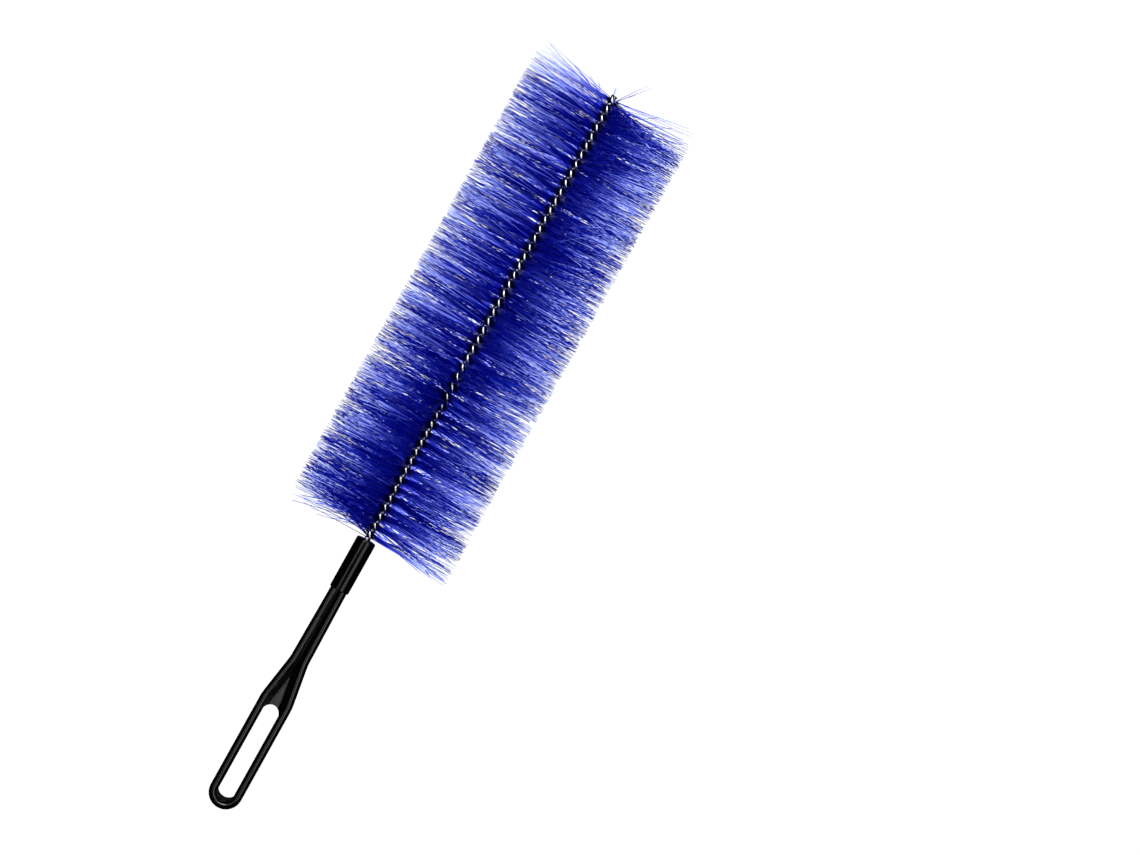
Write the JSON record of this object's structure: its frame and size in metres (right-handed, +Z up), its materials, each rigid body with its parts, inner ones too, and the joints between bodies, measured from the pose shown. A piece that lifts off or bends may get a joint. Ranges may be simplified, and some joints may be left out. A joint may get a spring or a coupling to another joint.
{
  "type": "ceiling fan duster",
  "caption": "Round bristle brush on a twisted-wire core with a slim looped handle, for dusting ceiling fan blades, pipes and narrow gaps.",
  "frame": {"origin": "on the surface that the brush lies on, under the middle of its overall length and on its plane of symmetry", "axes": "+X along the brush's axis from the handle's loop to the wire tip, +Z up, square to the plane of the loop"},
  "size_m": [0.3807, 0.0848, 0.0845],
  "materials": {
    "handle_plastic": "black moulded plastic, soft gloss",
    "sleeve_plastic": "black moulded plastic, gloss",
    "core_wire": "bright drawn wire",
    "bristle_nylon": "translucent royal blue monofilament"
  },
  "bodies": {
    "root": {"handle": "handle_plastic", "sleeve": "sleeve_plastic", "wire_a": "core_wire", "wire_b": "core_wire", "bristle_turn_01": "bristle_nylon", "bristle_turn_02": "bristle_nylon", "bristle_turn_03": "bristle_nylon", "bristle_turn_04": "bristle_nylon", "bristle_turn_05": "bristle_nylon", "bristle_turn_06": "bristle_nylon", "bristle_turn_07": "bristle_nylon", "bristle_turn_08": "bristle_nylon", "bristle_turn_09": "bristle_nylon", "bristle_turn_10": "bristle_nylon", "bristle_turn_11": "bristle_nylon", "bristle_turn_12": "bristle_nylon", "bristle_turn_13": "bristle_nylon", "bristle_turn_14": "bristle_nylon", "bristle_turn_15": "bristle_nylon", "bristle_turn_16": "bristle_nylon", "bristle_turn_17": "bristle_nylon", "bristle_turn_18": "bristle_nylon", "bristle_turn_19": "bristle_nylon", "bristle_turn_20": "bristle_nylon", "bristle_turn_21": "bristle_nylon", "bristle_turn_22": "bristle_nylon", "bristle_turn_23": "bristle_nylon", "bristle_turn_24": "bristle_nylon"}
  },
  "joints": []
}
